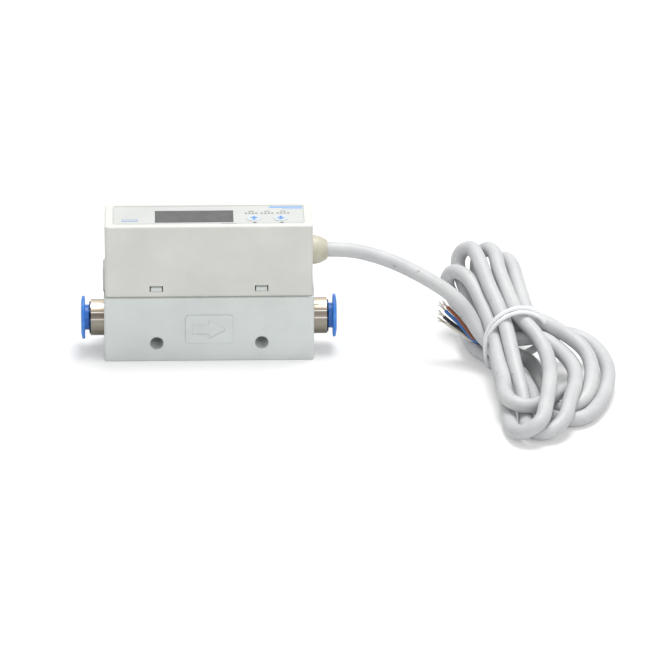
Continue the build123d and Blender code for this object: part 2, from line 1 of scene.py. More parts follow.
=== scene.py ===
import bmesh
import bpy
import json
import math
import numpy as np
from mathutils import Matrix, Vector

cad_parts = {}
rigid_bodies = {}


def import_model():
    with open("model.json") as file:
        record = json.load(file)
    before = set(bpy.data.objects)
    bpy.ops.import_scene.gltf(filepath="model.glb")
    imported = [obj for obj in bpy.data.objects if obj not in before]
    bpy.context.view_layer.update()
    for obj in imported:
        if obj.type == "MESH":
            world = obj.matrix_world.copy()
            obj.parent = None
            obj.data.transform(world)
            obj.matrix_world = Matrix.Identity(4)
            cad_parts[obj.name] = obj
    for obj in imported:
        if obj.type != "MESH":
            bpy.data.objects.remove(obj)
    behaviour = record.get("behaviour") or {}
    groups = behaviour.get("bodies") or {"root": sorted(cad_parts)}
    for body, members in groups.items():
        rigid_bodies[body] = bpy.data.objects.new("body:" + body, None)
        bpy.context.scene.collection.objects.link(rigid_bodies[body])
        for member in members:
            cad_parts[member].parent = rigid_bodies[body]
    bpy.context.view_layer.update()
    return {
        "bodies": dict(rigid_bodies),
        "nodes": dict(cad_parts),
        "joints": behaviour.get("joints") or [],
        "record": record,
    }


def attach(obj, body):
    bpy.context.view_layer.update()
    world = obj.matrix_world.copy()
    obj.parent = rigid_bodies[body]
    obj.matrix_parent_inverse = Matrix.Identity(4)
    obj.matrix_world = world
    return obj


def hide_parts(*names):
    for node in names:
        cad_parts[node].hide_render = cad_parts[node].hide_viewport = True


# An in-line air flow sensor on a white table, with its cable folded into a tied hank.
# Metres, +Z up, +X along the air path, the front faces -Y.

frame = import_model()
nodes = frame["nodes"]
scene = bpy.context.scene
print("frame loaded,", len(nodes), "nodes")


# hex as it looks on a screen, to the linear values that shaders take
def colour(hexCode):
    values = [int(hexCode[i:i + 2], 16) / 255 for i in (1, 3, 5)]
    return tuple(v / 12.92 if v <= 0.04045 else ((v + 0.055) / 1.055) ** 2.4 for v in values) + (1.0,)


# one node with its settings, and its inputs as values or as links
def addNode(tree, kind, settings=None, inputs=None):
    node = tree.nodes.new(kind)
    for key, value in (settings or {}).items():
        setattr(node, key, value)
    for key, value in (inputs or {}).items():
        if isinstance(value, bpy.types.NodeSocket):
            tree.links.new(value, node.inputs[key])
        else:
            node.inputs[key].default_value = value
    return node


def newMaterial(name, **shaderInputs):
    material = bpy.data.materials.new(name)
    material.use_nodes = True
    tree = material.node_tree
    tree.nodes.clear()
    place = addNode(tree, "ShaderNodeTexCoord").outputs["Object"]
    shader = addNode(tree, "ShaderNodeBsdfPrincipled", inputs=shaderInputs)
    addNode(tree, "ShaderNodeOutputMaterial", inputs={"Surface": shader.outputs[0]})
    return material, tree, shader, place


# a shade that drifts between two colours over patches of a real size
def drift(tree, place, first, second, patch):
    noise = addNode(tree, "ShaderNodeTexNoise", inputs={"Vector": place, "Scale": 1 / patch, "Detail": 4.0,
                                                       "Roughness": 0.6})
    ramp = addNode(tree, "ShaderNodeValToRGB", inputs={"Fac": noise.outputs["Fac"]})
    for element, position, shade in zip(ramp.color_ramp.elements, (0.35, 0.65), (first, second)):
        element.position = position
        element.color = colour(shade)
    return ramp.outputs["Color"]


# marks of a real size that show only where the noise runs high
def stain(tree, place, ground, shade, patch, low, high):
    noise = addNode(tree, "ShaderNodeTexNoise", inputs={"Vector": place, "Scale": 1 / patch, "Detail": 5.0,
                                                       "Roughness": 0.7})
    amount = addNode(tree, "ShaderNodeMapRange", inputs={"Value": noise.outputs["Fac"], "From Min": low,
                                                         "From Max": high})
    mix = addNode(tree, "ShaderNodeMix", {"data_type": "RGBA"}, {"Factor": amount.outputs[0]})
    tree.links.new(ground, mix.inputs[6])                       # 6 and 7 are its colours in, 2 its colour out
    mix.inputs[7].default_value = colour(shade)
    return mix.outputs[2]


# fine relief of a real size, with the part's hard edges softened by a real radius
def relief(tree, place, grain, depth, edge=0.0, strength=0.6, stretch=(1, 1, 1)):
    moved = addNode(tree, "ShaderNodeMapping", inputs={"Vector": place, "Scale": stretch})
    noise = addNode(tree, "ShaderNodeTexNoise", inputs={"Vector": moved.outputs[0], "Scale": 1 / grain,
                                                       "Detail": 3.0, "Roughness": 0.55})
    bump = addNode(tree, "ShaderNodeBump", inputs={"Height": noise.outputs["Fac"], "Distance": depth,
                                                   "Strength": strength})
    if edge:
        soft = addNode(tree, "ShaderNodeBevel", {"samples": 6}, {"Radius": edge})
        tree.links.new(soft.outputs[0], bump.inputs["Normal"])
    return bump.outputs["Normal"]


def join(tree, shader, shade, bumps):
    tree.links.new(shade, shader.inputs["Base Color"])
    tree.links.new(bumps, shader.inputs["Normal"])


def dress(name, material):
    node = nodes[name]
    if node.material_slots:
        for slot in node.material_slots:
            slot.material = material
    else:
        node.data.materials.append(material)


view = {"target": (0.041465, 0.0, 0.005228), "distance": 1.8089, "elevation": 24.984, "azimuth": 1.981,
        "roll": 0.33, "lens": 291.73, "sensor": 36.0, "pixels": 665}


# where the camera stands, the way it looks, and the right and the top of its picture
def viewAxes():
    rise, turn, roll = (math.radians(view[key]) for key in ("elevation", "azimuth", "roll"))
    ahead = np.array((math.sin(turn) * math.cos(rise), math.cos(turn) * math.cos(rise), -math.sin(rise)))
    right = np.array((math.cos(turn), -math.sin(turn), 0.0))
    up = np.cross(right, ahead)
    side = right * math.cos(roll) + up * math.sin(roll)
    top = up * math.cos(roll) - right * math.sin(roll)
    return np.array(view["target"]) - ahead * view["distance"], ahead, side, top


# the place of a pick: its column and row in the photograph, and its height over the table in millimetres
def onPhoto(column, row, height):
    eye, ahead, side, top = viewAxes()
    scale, middle = view["pixels"] * view["lens"] / view["sensor"], view["pixels"] / 2
    ray = ahead + (side * (column - middle) - top * (row - middle)) / scale
    return eye + ray * (height / 1000 - eye[2]) / ray[2]


def toStep(places, stepsPerMetre):
    return np.round(np.array(places) * stepsPerMetre) / stepsPerMetre


def makeCamera():
    eye, ahead, side, top = viewAxes()
    data = bpy.data.cameras.new("camera")
    data.sensor_fit = "HORIZONTAL"
    data.sensor_width = view["sensor"]
    data.lens = view["lens"]
    camera = bpy.data.objects.new("camera", data)
    turned = Matrix((side, top, -ahead)).transposed().to_4x4()
    camera.matrix_world = Matrix.Translation(eye) @ turned
    scene.collection.objects.link(camera)
    scene.camera = camera


makeCamera()
print("camera placed")

# The cable, in metres: the route from the gland to the hank, as in the part's source, and the last stretch
# inside the hank to the jacket's end.
cable = {
    "diameter": 0.005,
    "clearance": 0.0002,
    "length": 1.0,
    "exit": (0.0396, 0.0, 0.0358),
    "route": [(0.0396, 0.0, 0.0358), (0.0464, 0.0, 0.0358), (0.0536, -0.0005, 0.0343),
              (0.0606, -0.002, 0.0324), (0.0675, -0.0045, 0.03), (0.0745, -0.0075, 0.027),
              (0.0805, -0.01, 0.0237), (0.0858, -0.013, 0.019), (0.0896, -0.0162, 0.014)],
    "tail": [(0.0995, -0.020, 0.0115), (0.0968, -0.0155, 0.0103), (0.0938, -0.0133, 0.009)],
    "stepsPerMetre": 2000,                                      # the turns keep to half millimetres
}
# The tie's places are millimetres beside and above its middle, in the plane across the strands. Its two
# rounds stand apart, and close up towards their lowest places.
tie = {
    "middle": (0.1005, -0.020, 0.012),
    "axis": (0.202, -0.958, -0.202),
    "radius": 0.00068,
    "spread": 0.00078,
    "drop": 0.0004,
    "closed": 0.55,
    "opening": 0.05,
    "closedBelow": -9,
    "places": [(-7.8, -9.6), (-8.9, -5.5), (-9.2, -0.6), (-8.5, 4.0), (-5.8, 8.2), (-2.1, 10.6), (1.6, 11.4),
               (5.6, 10.6), (9.3, 7.8), (11.6, 3.6), (11.9, -1.2), (9.6, -4.6), (5.4, -7.0), (0.8, -9.0),
               (-3.6, -11.0), (-6.4, -11.2)],
}
# The hank's half turns in the order in which the cable takes them, front and rear by turns. Each starts at
# a place in the tie, in the same millimetres as the tie's own, and runs on through spots picked along
# the strand in the photograph: column, row, and a chosen height over the table in millimetres.
halfTurns = [
    # front loop nearest the camera
    ((-5.6, -3.3), [(498, 363, 6.2), (503, 386, 3.6), (508, 410, 2.5), (514, 432, 2.6), (523, 441, 3.8),
                    (535, 433, 5.4), (544, 412, 7.4), (548, 389, 9.6), (550, 368, 11.6), (545, 347, 14.2),
                    (532.5, 331, 16.8)]),
    # rear, third from the left
    ((2.4, 6.9), [(508, 293, 21.6), (503, 281, 23.6), (498, 266.5, 25.8), (493, 251.5, 28), (485, 240.5, 29),
                  (476, 244.5, 27), (475, 264, 21.4), (483, 286, 17.4), (495, 304, 15.2)]),
    # front, the short loop that crosses over the first one's left limb
    ((3.9, 1.2), [(545, 336, 12.5), (560, 349, 9.4), (572.5, 360, 6.6), (576, 377, 4.6), (568, 392, 3.8),
                  (551, 403, 4.8), (533, 410, 6.2), (518, 414, 7.2), (509, 403, 7.8), (505, 384, 8.8),
                  (500, 363, 11)]),
    # rear, leftmost
    ((-6.0, 1.4), [(488, 317, 17), (482.5, 301, 19.6), (474.5, 286, 22), (464, 273.5, 23.6),
                   (449, 267.5, 22.4), (440, 278, 18.4), (455, 298, 13), (463, 317, 9), (466, 333.5, 6.5),
                   (474.5, 349, 5)]),
    # front, rightmost
    ((-4.9, -8.2), [(501, 368.5, 3.2), (520, 376.5, 3.4), (534, 390, 3), (542, 406, 2.5), (558, 421, 2.5),
                    (578, 421.5, 2.5), (594, 408.5, 2.8), (606, 390, 4), (609, 367, 6), (598, 347.5, 8),
                    (580, 335.5, 9.6), (560, 332, 11)]),
    # rear, rightmost
    ((8.4, -0.6), [(519, 303, 13.8), (508, 285, 16), (495, 270, 18.4), (491, 259, 21.6), (499, 252.5, 24.4),
                   (510, 261.5, 24.8), (515, 276, 23), (519.5, 292, 20.4)]),
    # front, second from the right
    ((7.4, 4.7), [(548, 327.5, 15.2), (566, 335, 13.2), (583, 346, 11), (592, 361.5, 9), (592, 381.5, 7),
                  (583, 401, 5), (569, 416, 3.3), (554, 412, 2.5), (546, 395, 2.5), (537, 372, 2.6),
                  (520, 352, 3.8)]),
    # rear, the highest
    ((-0.3, -5.6), [(484, 332, 10), (475, 312, 13.2), (466, 291, 16.4), (458, 272, 20), (456, 257, 24.4),
                    (460.5, 246.5, 28.2), (469, 244, 29.6), (476, 254, 28.6), (481.5, 266, 27),
                    (488, 284, 24.2), (495.5, 302, 21.2)]),
    # front, between the first and the rightmost
    ((-3.0, 5.9), [(510, 347, 14.6), (515, 369, 10.4), (521.5, 391, 6.4), (526, 411, 3.4), (533, 436, 2.5),
                   (548, 443, 2.6), (560, 427, 4.4), (570, 404, 6.6), (576.5, 384, 8.2), (573, 364, 10),
                   (558, 347, 12.2), (538, 335, 13.4)]),
]
# How the turns give way to each other: push, home, bend, spill and slide are shares per round, lift is how
# strongly the table pushes back, and tightest and alongGap are metres.
yielding = {"rounds": 260, "samples": 6, "push": 0.75, "home": 0.03, "bend": 0.2, "spill": 0.25, "slide": 0.1,
            "lift": 2, "tightest": 0.005, "alongGap": 0.014}
tiny = 1e-9                                                     # keeps a division by nothing away


# along the strands, across them and out of them, where the tie holds them
def tieAxes():
    axis = Vector(tie["axis"]).normalized()
    side = Vector((0, 0, 1)).cross(axis).normalized()
    return axis, side, axis.cross(side)


def hankPlaces():
    axis, side, out = (np.array(way) for way in tieAxes())
    places = []
    for (across, over), picks in halfTurns:
        places.append(np.array(tie["middle"]) + (side * across + out * over) / 1000)
        places += [onPhoto(*pick) for pick in picks]
    return toStep(places, cable["stepsPerMetre"])


# weights of the control points at even steps along a clamped spline of order 3
def splineWeights(count, steps):
    knot = [min(max(i, 0), count - 2) for i in range(-1, count + 3)]
    weights = np.zeros(((count - 2) * steps + 1, count))
    for row in range(len(weights)):
        t = row / steps
        k = min(int(t), count - 3)
        a = (t - knot[k]) / (knot[k + 2] - knot[k])
        b = (t - knot[k + 1]) / (knot[k + 3] - knot[k + 1])
        c = (t - knot[k + 1]) / (knot[k + 2] - knot[k + 1])
        weights[row, k:k + 3] = (1 - a) * (1 - c), a * (1 - c) + (1 - b) * c, b * c
    return weights


def lengthOf(rows):
    return np.linalg.norm(rows, axis=-1, keepdims=True)


# the turns settle round by round: they push apart to a cable's thickness, ease where they bend too tightly and
# rise off the table
def settleHank(home, held):
    weights = splineWeights(len(home), yielding["samples"])
    gap, floor = cable["diameter"], cable["diameter"] / 2 + cable["clearance"]
    points = home.copy()
    for _ in range(yielding["rounds"]):
        line = weights @ points
        run = np.concatenate([[0], np.cumsum(lengthOf(np.diff(line, axis=0)))])
        apart = line[:, None] - line[None]
        distance = np.linalg.norm(apart, axis=2)
        near = (distance < gap) & (np.abs(run[:, None] - run[None]) > yielding["alongGap"])
        push = np.where(near, (gap - distance) / np.maximum(distance, tiny), 0.0)
        move = (push[..., None] * apart).sum(1) / np.maximum(near.sum(1), 1)[:, None]
        move[:, 2] += yielding["lift"] * np.maximum(floor - line[:, 2], 0)
        shift = yielding["push"] * (weights.T @ move) / weights.sum(0)[:, None]
        bent = (points[2:] + points[:-2]) / 2 - points[1:-1]
        chord = points[2:] - points[:-2]
        allowed = lengthOf(chord) ** 2 / (8 * yielding["tightest"])
        ease = yielding["bend"] * bent * np.clip(1 - allowed / np.maximum(lengthOf(bent), tiny), 0, 1)
        ahead = chord / lengthOf(chord)
        shift[1:-1] += ease + yielding["slide"] * ahead * (bent * ahead).sum(1, keepdims=True)
        shift[:-2] -= ease * yielding["spill"]
        shift[2:] -= ease * yielding["spill"]
        shift += yielding["home"] * (home - points)
        shift[:held] = 0
        points += shift
    return points


# a smooth round strand along points
def strand(name, lines, radius, sides=4, detail=6, cyclic=False):
    curve = bpy.data.curves.new(name, "CURVE")
    curve.dimensions = "3D"
    for line in lines:
        spline = curve.splines.new("NURBS")
        spline.points.add(len(line) - 1)
        for point, place in zip(spline.points, line):
            point.co = (*place, 1.0)
        spline.order_u = 3
        if cyclic:
            spline.use_cyclic_u = True
        else:
            spline.use_endpoint_u = True
        spline.resolution_u = detail
    curve.bevel_depth = radius
    curve.bevel_resolution = sides
    curve.use_fill_caps = True
    piece = bpy.data.objects.new(name, curve)
    scene.collection.objects.link(piece)
    return piece


# Light grey PVC, extruded: an even satin skin with a faint haze of dust and thumb marks.
def pvcJacket():
    material, tree, shader, place = newMaterial("extruded light grey PVC", Roughness=0.48, IOR=1.53)
    clean = drift(tree, place, "#BEC0C2", "#CBCCCC", patch=0.012)
    marked = stain(tree, place, clean, "#8F8A80", patch=0.0022, low=0.63, high=0.72)
    join(tree, shader, marked, relief(tree, place, grain=0.0006, depth=0.00002))
    return material


jacket = pvcJacket()
hankHome = np.concatenate([cable["route"], hankPlaces(), cable["tail"]])
hankLine = settleHank(hankHome, len(cable["route"]) - 1)
cablePiece = strand("cable_jacket", [hankLine], cable["diameter"] / 2, sides=7, detail=8)
cablePiece.data.materials.append(jacket)
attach(cablePiece, "sensor")
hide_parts("cable", "cable_hank")
print("cable made,", len(hankLine), "points")


# two rounds drawn tight at the sides and loose on top
def makeTie():
    axis, side, out = tieAxes()
    rounds = []
    for turn in (-1, 1):
        line = []
        for across, over in tie["places"]:
            pinch = min(1.0, tie["closed"] + tie["opening"] * max(over - tie["closedBelow"], 0))
            spot = Vector(tie["middle"]) + side * across / 1000 + out * over / 1000
            line.append(spot + axis * turn * tie["spread"] * pinch - out * turn * tie["drop"])
        rounds.append(line)
    return strand("cable_tie", rounds, tie["radius"], sides=4, detail=8, cyclic=True)


# Soft polyethylene, moulded white: bright and waxy.
def softPolyethylene():
    material, tree, shader, place = newMaterial("soft white polyethylene", Roughness=0.38, IOR=1.51)
    join(tree, shader, drift(tree, place, "#EDEFF2", "#F6F7F8", patch=0.004),
         relief(tree, place, grain=0.0008, depth=0.00003))
    return material


tiePiece = makeTie()
tiePiece.data.materials.append(softPolyethylene())
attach(tiePiece, "sensor")
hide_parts("hank_tie")

# Four thin cores out of the jacket's end, stripped at the tips, in metres. For each its shade, two places
# inside the jacket's end, and then picks like the hank's.
cores = {
    "radius": 0.0006,
    "bare": 0.00011,
    "strands": 7,
    "bundle": 0.00025,
    "root": 0.0005,
    "ragged": 0.0002,
    "swell": 1.2,
    "fan": 0.5,
    "neck": 0.15,
    "stepsPerMetre": 10000,                                     # the cores keep to tenths of a millimetre
    "brown": ("#8A4B2C", [(0.0952, -0.0141, 0.01), (0.093, -0.013, 0.0096)],
              [(474.5, 340.5, 9.4), (468.5, 331.5, 11.2), (461.5, 322, 13.6), (455.5, 315, 16),
               (448, 308, 18.5), (441.7, 301, 20.5)]),
    "blue": ("#2F6CB4", [(0.095, -0.0145, 0.0094), (0.0926, -0.0138, 0.0088)],
             [(475, 343, 8.6), (466, 331.5, 10.4), (459, 323.8, 12.4), (452.5, 317.5, 14.5),
              (447, 312.5, 16.5), (438.3, 301.5, 19)]),
    "black": ("#1C1D24", [(0.0946, -0.0152, 0.009), (0.092, -0.015, 0.0084)],
              [(474, 341, 7.8), (465.5, 333.2, 9.4), (457.5, 327.2, 11), (451, 322.5, 13),
               (445, 317.8, 15), (437.8, 310.5, 17)]),
    "white": ("#DAD5C9", [(0.0949, -0.0138, 0.0088), (0.0922, -0.0134, 0.008)],
              [(473, 342, 7.2), (463.5, 335.2, 8.6), (456.5, 330.4, 10), (451.5, 327, 11.5),
               (447.5, 324.3, 12.8), (436.5, 317.5, 14.5)]),
}


# PVC of a core: smooth, thin and glossier than the jacket.
def coreInsulation(name, shade):
    material, tree, shader, place = newMaterial(name + " PVC insulation", Roughness=0.35, IOR=1.53)
    shader.inputs["Base Color"].default_value = colour(shade)
    tree.links.new(relief(tree, place, grain=0.0005, depth=0.00001), shader.inputs["Normal"])
    return material


# Tinned copper, drawn fine: dull silver with brownish patches.
def tinnedCopper():
    material, tree, shader, place = newMaterial("tinned copper strand", Metallic=1.0, Roughness=0.35)
    join(tree, shader, drift(tree, place, "#A79F93", "#CFCBC2", patch=0.002),
         relief(tree, place, grain=0.0004, depth=0.00001))
    return material


# bare strands that fan out from a core's cut end, each further out and shorter than the last
def bareStrands(name, neck, tip):
    ahead = (tip - neck).normalized()
    side = ahead.cross(Vector((0, 0, 1))).normalized()
    lines = []
    for i in range(cores["strands"]):
        angle = 2 * math.pi * i / cores["strands"]
        ring = (side * math.cos(angle) + side.cross(ahead) * math.sin(angle)) * cores["bundle"]
        lines.append([neck + ring - ahead * cores["root"], neck.lerp(tip, 0.5) + ring * cores["swell"],
                      tip + ring * (1 + cores["fan"] * i) - ahead * cores["ragged"] * i])
    return strand("core_" + name + "_strands", lines, cores["bare"], sides=1, detail=4)


def makeCores():
    wire = tinnedCopper()
    pieces = []
    for name in ("brown", "blue", "black", "white"):
        shade, start, picks = cores[name]
        spots = toStep([onPhoto(*pick) for pick in picks], cores["stepsPerMetre"])
        places = [Vector(spot) for spot in start + spots.tolist()]
        neck = places[-2].lerp(places[-1], cores["neck"])
        insulation = strand("core_" + name + "_insulation", [places[:-1] + [neck]], cores["radius"], sides=3)
        insulation.data.materials.append(coreInsulation(name, shade))
        strands = bareStrands(name, neck, places[-1])
        strands.data.materials.append(wire)
        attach(insulation, "sensor")
        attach(strands, "sensor")
        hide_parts("core_" + name)
        pieces += [insulation, strands]
    return pieces


[tiePiece] + makeCores()
print("tie and cores made")


# Glass-filled polyamide, moulded in a spark-eroded tool: matt, bluish grey, fine even grain.
def grainedPolyamide():
    material, tree, shader, place = newMaterial("moulded grey polyamide", Roughness=0.5, IOR=1.53)
    join(tree, shader, drift(tree, place, "#D4DAD7", "#DCE2DF", patch=0.018),
         relief(tree, place, grain=0.0005, depth=0.00003, edge=0.0003))
    return material


# ABS cover from a smoother tool, a little warmer and yellowed with age.
def mouldedAbs():
    material, tree, shader, place = newMaterial("moulded warm grey ABS", Roughness=0.42, IOR=1.54)
    join(tree, shader, drift(tree, place, "#D5D6D0", "#DEDFD9", patch=0.02),
         relief(tree, place, grain=0.0006, depth=0.00002, edge=0.0003))
    return material


# Printed polyester film, back-painted white: flat, glossy, with a slight orange peel.
def paintedFilm():
    material, tree, shader, place = newMaterial("white polyester film", Roughness=0.2, IOR=1.6)
    join(tree, shader, drift(tree, place, "#C5C7C4", "#CDCFCB", patch=0.02),
         relief(tree, place, grain=0.003, depth=0.00002, edge=0.0001, strength=0.3))
    return material


# Smoked acrylic: dark grey body under a mirror-flat skin.
def smokedAcrylic():
    material, tree, shader, place = newMaterial("smoked acrylic", Roughness=0.15, IOR=1.49)
    join(tree, shader, drift(tree, place, "#4A4A4B", "#545455", patch=0.004),
         relief(tree, place, grain=0.004, depth=0.00001, strength=0.3))
    return material


# Ivory PVC of the strain relief, moulded on: soft sheen, warmer than the cover.
def mouldedPvc():
    material, tree, shader, place = newMaterial("moulded ivory PVC", Roughness=0.45, IOR=1.53)
    join(tree, shader, drift(tree, place, "#B9B5A3", "#C4C0AE", patch=0.005),
         relief(tree, place, grain=0.0006, depth=0.00002, edge=0.0003))
    return material


# Nickel-plated brass, turned: a warm mirror crossed by fine tool rings. The room it mirrors is painted into
# its colour:
# bright and brown bands along its axis, painted reflections and highlights chosen by which way the surface
# faces. Each band has its share of the way up and a shade matched to the photograph, and the way up leans
# back, because the collars are seen from above their front.
paintedReflections = {
    "up": (0, 0.42, 0.91),
    "rings": (1, 0.02, 0.02),
    "reflectionShades": [(0.0, "#757061"), (0.14, "#8B867A"), (0.40, "#8E887E"), (0.435, "#D9D1CD"), (0.455, "#7D756C"),
               (0.52, "#605952"), (0.60, "#736B63"), (0.625, "#FFFBF2"), (0.65, "#958778"), (0.69, "#B8A792"),
               (0.72, "#F0DFC9"), (0.86, "#FFF4E2"), (0.95, "#DCCDB8"), (0.98, "#AA9C8C")],
}


def turnedNickel():
    material, tree, shader, place = newMaterial("nickel plated brass", Metallic=1.0, Roughness=0.24)
    facing = addNode(tree, "ShaderNodeTexCoord").outputs["Normal"]
    # painted reflections: the surface's facing picks a bright or brown band, laid into the metal's colour
    height = addNode(tree, "ShaderNodeVectorMath", {"operation": "DOT_PRODUCT"}, {0: facing, 1: paintedReflections["up"]})
    share = addNode(tree, "ShaderNodeMapRange", inputs={"Value": height.outputs["Value"], "From Min": -1.0})
    ramp = addNode(tree, "ShaderNodeValToRGB", inputs={"Fac": share.outputs[0]})
    while len(ramp.color_ramp.elements) < len(paintedReflections["reflectionShades"]):
        ramp.color_ramp.elements.new(1.0)
    for element, (position, shade) in zip(ramp.color_ramp.elements, paintedReflections["reflectionShades"]):
        element.position = position
        element.color = colour(shade)
    join(tree, shader, ramp.outputs["Color"],
         relief(tree, place, grain=0.0004, depth=0.00001, edge=0.00015, stretch=paintedReflections["rings"]))
    return material


# Blue acetal: waxy and slightly translucent, with a soft highlight.
def blueAcetal():
    material, tree, shader, place = newMaterial("blue acetal", Roughness=0.35, IOR=1.48)
    join(tree, shader, drift(tree, place, "#2E7ADB", "#4A92E6", patch=0.006),
         relief(tree, place, grain=0.0008, depth=0.00002, edge=0.0002))
    return material


# A finish of the hidden pieces: two shades, the size of the patches over which they drift, and the grain.
def plain(name, first, second, patch, grain, **inputs):
    material, tree, shader, place = newMaterial(name, **inputs)
    join(tree, shader, drift(tree, place, first, second, patch),
         relief(tree, place, grain, depth=0.00002, edge=0.0001))
    return material


finishes = {
    "flow_block": grainedPolyamide(),
    "housing_cover": mouldedAbs(),
    "keypad_foil": paintedFilm(),
    "display_window": smokedAcrylic(),
    "cable_gland": mouldedPvc(),
    "cable_tail": jacket,
}
nickel, acetal = turnedNickel(), blueAcetal()
rubber = plain("black nitrile rubber", "#202123", "#2A2B2D", 0.003, 0.0005, Roughness=0.6, IOR=1.52)
steel = plain("stainless spring steel", "#B4B5B6", "#C6C7C8", 0.003, 0.0004, Metallic=1.0, Roughness=0.3)
laminate = plain("green glass fibre laminate", "#1F6A3C", "#287A47", 0.002, 0.0008, Roughness=0.3, IOR=1.55)
epoxy = plain("black moulding epoxy", "#1D1E20", "#27282B", 0.002, 0.0004, Roughness=0.45, IOR=1.55)
nylon = plain("white nylon", "#DEDCD4", "#E8E6DF", 0.004, 0.0005, Roughness=0.4, IOR=1.53)
lens = plain("clear lamp epoxy", "#C9D6C9", "#DCE6DC", 0.001, 0.0004, Roughness=0.12, IOR=1.55)
aluminium = plain("drawn aluminium can", "#B9BABC", "#CDCED0", 0.002, 0.0004, Metallic=1.0, Roughness=0.28)
for name in nodes:
    if name in finishes or name.startswith(("cable", "hank", "core")):
        continue
    if "collar_ring" in name or name.endswith("_seal"):
        finishes[name] = rubber
    elif name.endswith("_collar"):
        finishes[name] = nickel
    elif name.endswith("release_ring"):
        finishes[name] = acetal
    elif "screw" in name or name.endswith(("grab_ring", "_screen")):
        finishes[name] = steel
    elif name.endswith("board"):
        finishes[name] = laminate
    elif name.startswith("status_led"):
        finishes[name] = lens
    elif name.startswith("capacitor"):
        finishes[name] = aluminium
    elif name.startswith(("key_plunger", "screen_spacer")) or name.endswith("retainer"):
        finishes[name] = nylon
    else:
        finishes[name] = epoxy
finishes["cable_socket"] = nylon
for name, material in finishes.items():
    dress(name, material)
print("materials on", len(finishes), "nodes")

# Screen prints on the foil: bars and arrow heads in place of words, and round the foil's edge a grey line of
# painted shade for the gap between the foil and its recess. In millimetres, with foil and key as the heights
# at which the ink on them starts.
# A bar is x, y, length and depth, and a row of dashes has their number too.
prints = {
    "foil": 48.755,
    "key": 48.893,
    "thickness": 0.01,
    "inked": 0.72,                                              # share of a dash's step
    # the painted shade line round the foil's edge, for the shadow of the gap between foil and recess
    "frame": (31.1, 7.0, 0.14),                                 # half length, half depth, line
    "label": [(-26.15, -3.7, 5.6, 0.7, 5), (-26.15, -4.9, 5.6, 0.5)],
    "bars": [(25.8, 5.9, 11.4, 1.1), (28.0, 4.5, 7.0, 0.35)],
    "keys": [(15.1, -3.1), (24.0, -3.1)],
    "keyRing": (1.75, 0.45),                                    # radius, line
    "lamps": [(14.2, 1.0), (19.5, 1.0), (24.8, 1.0)],
    "lampMarks": [(0, 4.6, 0.95, 4), (1.6, 2.0, 0.5)],          # how far above the lamp, then as bars
    "keyMarks": [(6.75, -7.4, 5.2, 0.6, 5), (15.3, -6.7, 1.3, 0.9), (24.3, -6.7, 1.3, 0.9)],
}
arcSteps = 6                                                    # of a bar's round end and of a ring's arc


# outline of a bar with round ends
def bar(x, y, length, depth):
    r = depth / 2
    outline = []
    for end, start in ((1, -90), (-1, 90)):
        for i in range(arcSteps + 1):
            angle = math.radians(start + 180 * i / arcSteps)
            outline.append((x + end * (length / 2 - r) + r * math.cos(angle), y + r * math.sin(angle)))
    return outline


# a bar, or a row of dashes where their number is given
def marks(x, y, length, depth, count=None):
    if not count:
        return [bar(x, y, length, depth)]
    step = length / count
    return [bar(x - length / 2 + step * (i + 0.5), y, step * prints["inked"], depth) for i in range(count)]


# arrow head on a short stem; way is 1 for up and -1 for down
def keySymbol(x, y, way):
    wide, stem, tip, neck, foot = 1.5, 0.45, 1.5, -0.1, -1.5
    head = [(x - wide, y + way * neck), (x + wide, y + way * neck), (x, y + way * tip)]
    shaft = [(x - stem, y + way * foot), (x + stem, y + way * foot), (x + stem, y + way * neck),
             (x - stem, y + way * neck)]
    return [head[::way], shaft[::way]]


# ring in eight arcs, each an outline of its own, with a hair between them
def keyRing(x, y, radius, line):
    arc, gap = 45, 2
    arcs = []
    for i in range(8):
        turns = [math.radians(arc * i + gap / 2 + (arc - gap) * j / arcSteps) for j in range(arcSteps + 1)]
        outer = [(x + (radius + line) * math.cos(t), y + (radius + line) * math.sin(t)) for t in turns]
        arcs.append(outer + [(x + radius * math.cos(t), y + radius * math.sin(t)) for t in reversed(turns)])
    return arcs


def inkPatches(name, outlines, shade, height):
    mesh = bpy.data.meshes.new(name)
    shape = bmesh.new()
    for outline in outlines:
        corners = [shape.verts.new((x / 1000, y / 1000, height / 1000)) for x, y in outline]
        raised = bmesh.ops.extrude_face_region(shape, geom=[shape.faces.new(corners)])
        lifted = [part for part in raised["geom"] if isinstance(part, bmesh.types.BMVert)]
        bmesh.ops.translate(shape, verts=lifted, vec=(0, 0, prints["thickness"] / 1000))
    bmesh.ops.recalc_face_normals(shape, faces=shape.faces)
    shape.to_mesh(mesh)
    shape.free()
    piece = bpy.data.objects.new(name, mesh)
    scene.collection.objects.link(piece)
    material, tree, shader, place = newMaterial(name.replace("_", " ") + " ink", Roughness=0.3, IOR=1.5)
    shader.inputs["Base Color"].default_value = colour(shade)
    flow = relief(tree, place, grain=0.002, depth=0.00001, strength=0.3)
    tree.links.new(flow, shader.inputs["Normal"])
    piece.data.materials.append(material)
    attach(piece, "sensor")


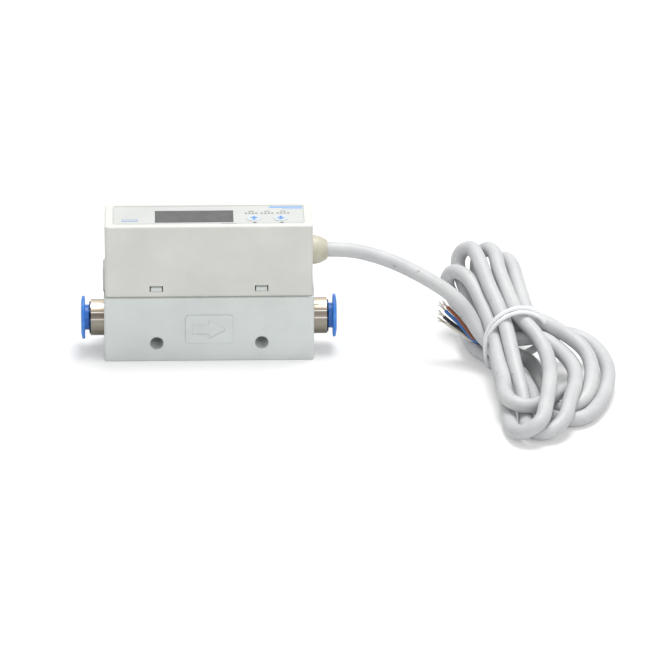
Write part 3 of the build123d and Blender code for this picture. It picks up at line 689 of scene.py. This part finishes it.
def makePrints():
    foil, key = prints["foil"], prints["key"]
    length, depth, line = prints["frame"]
    frame = [bar(0, end * depth, 2 * length, line) for end in (-1, 1)]
    for end in (-1, 1):
        frame.append([(y * line / depth + end * length, x) for x, y in bar(0, 0, 2 * depth, line)][::-1])
    # painted shade: a grey line round the foil's edge stands for the shadow in the gap between foil and recess
    inkPatches("painted_gap_shade", frame, "#A9B0B6", foil)
    inkPatches("label_print", sum((marks(*row) for row in prints["label"]), []), "#7397C6", foil)
    inkPatches("bar_print", sum((marks(*row) for row in prints["bars"]), []), "#6AA3E0", foil)
    upKey, downKey = prints["keys"]
    inkPatches("key_prints", keySymbol(*upKey, 1) + keySymbol(*downKey, -1), "#5590D2", key)
    inkPatches("ring_prints", keyRing(*upKey, *prints["keyRing"]) + keyRing(*downKey, *prints["keyRing"]),
               "#C4D6E8", key)
    small = []
    for x, y in prints["lamps"]:
        for above, *size in prints["lampMarks"]:
            small += marks(x, y + above, *size)
    for row in prints["keyMarks"]:
        small += marks(*row)
    inkPatches("lamp_prints", small, "#6E7072", foil)


makePrints()
print("prints made")

# In metres and watts. A strength of 1 is white, and the floor adds a glow to its paint only where it is seen.
# Each lamp has its place, what it points at, its size and its power.
studio = {
    "floor": 2.5,
    "paint": "#DCDCDC",
    "glow": 0.28,
    "world": 0.52,
    "backdrop": 1.0,
    "lamps": [
        ("key_light", (0.16, 0.2, 1.08), (0.05, -0.02, 0.02), 0.6, 9.8),
        ("fill_light", (0.35, -0.9, 0.5), (0.04, 0, 0.02), 0.8, 2.6),
    ],
}
white = (1, 1, 1, 1)


# 1 where the eye, a reflection or a clear piece looks at it, and 0 where it only lights
def seenDirectly(tree):
    path = addNode(tree, "ShaderNodeLightPath")
    seen = path.outputs["Is Camera Ray"]
    for ray in ("Is Glossy Ray", "Is Transmission Ray"):
        either = addNode(tree, "ShaderNodeMath", {"operation": "MAXIMUM"}, {0: seen, 1: path.outputs[ray]})
        seen = either.outputs[0]
    return seen


def makeFloor():
    mesh = bpy.data.meshes.new("floor")
    half = studio["floor"]
    corners = [(-half, -half, 0), (half, -half, 0), (half, half, 0), (-half, half, 0)]
    mesh.from_pydata(corners, [], [(0, 1, 2, 3)])
    floor = bpy.data.objects.new("floor", mesh)
    scene.collection.objects.link(floor)
    material = bpy.data.materials.new("white table")
    material.use_nodes = True
    tree = material.node_tree
    tree.nodes.clear()
    strength = addNode(tree, "ShaderNodeMath", {"operation": "MULTIPLY"},
                       {0: seenDirectly(tree), 1: studio["glow"]})
    paint = addNode(tree, "ShaderNodeBsdfDiffuse", inputs={"Color": colour(studio["paint"])})
    glow = addNode(tree, "ShaderNodeEmission", inputs={"Color": white, "Strength": strength.outputs[0]})
    both = addNode(tree, "ShaderNodeAddShader", inputs={0: paint.outputs[0], 1: glow.outputs[0]})
    addNode(tree, "ShaderNodeOutputMaterial", inputs={"Surface": both.outputs[0]})
    mesh.materials.append(material)


def makeWorld():
    world = bpy.data.worlds.new("studio")
    scene.world = world
    world.use_nodes = True
    tree = world.node_tree
    tree.nodes.clear()
    light = addNode(tree, "ShaderNodeBackground", inputs={"Color": white, "Strength": studio["world"]})
    backdrop = addNode(tree, "ShaderNodeBackground", inputs={"Color": white, "Strength": studio["backdrop"]})
    both = addNode(tree, "ShaderNodeMixShader",
                   inputs={0: seenDirectly(tree), 1: light.outputs[0], 2: backdrop.outputs[0]})
    addNode(tree, "ShaderNodeOutputWorld", inputs={"Surface": both.outputs[0]})


def makeLamp(name, place, aim, size, power):
    data = bpy.data.lights.new(name, "AREA")
    data.shape = "DISK"
    data.size = size
    data.energy = power
    lamp = bpy.data.objects.new(name, data)
    lamp.location = place
    lamp.rotation_euler = (Vector(aim) - Vector(place)).to_track_quat("-Z", "Y").to_euler()
    scene.collection.objects.link(lamp)


makeFloor()
makeWorld()
for lamp in studio["lamps"]:
    makeLamp(*lamp)
scene.view_settings.view_transform = "Standard"
print("studio made")
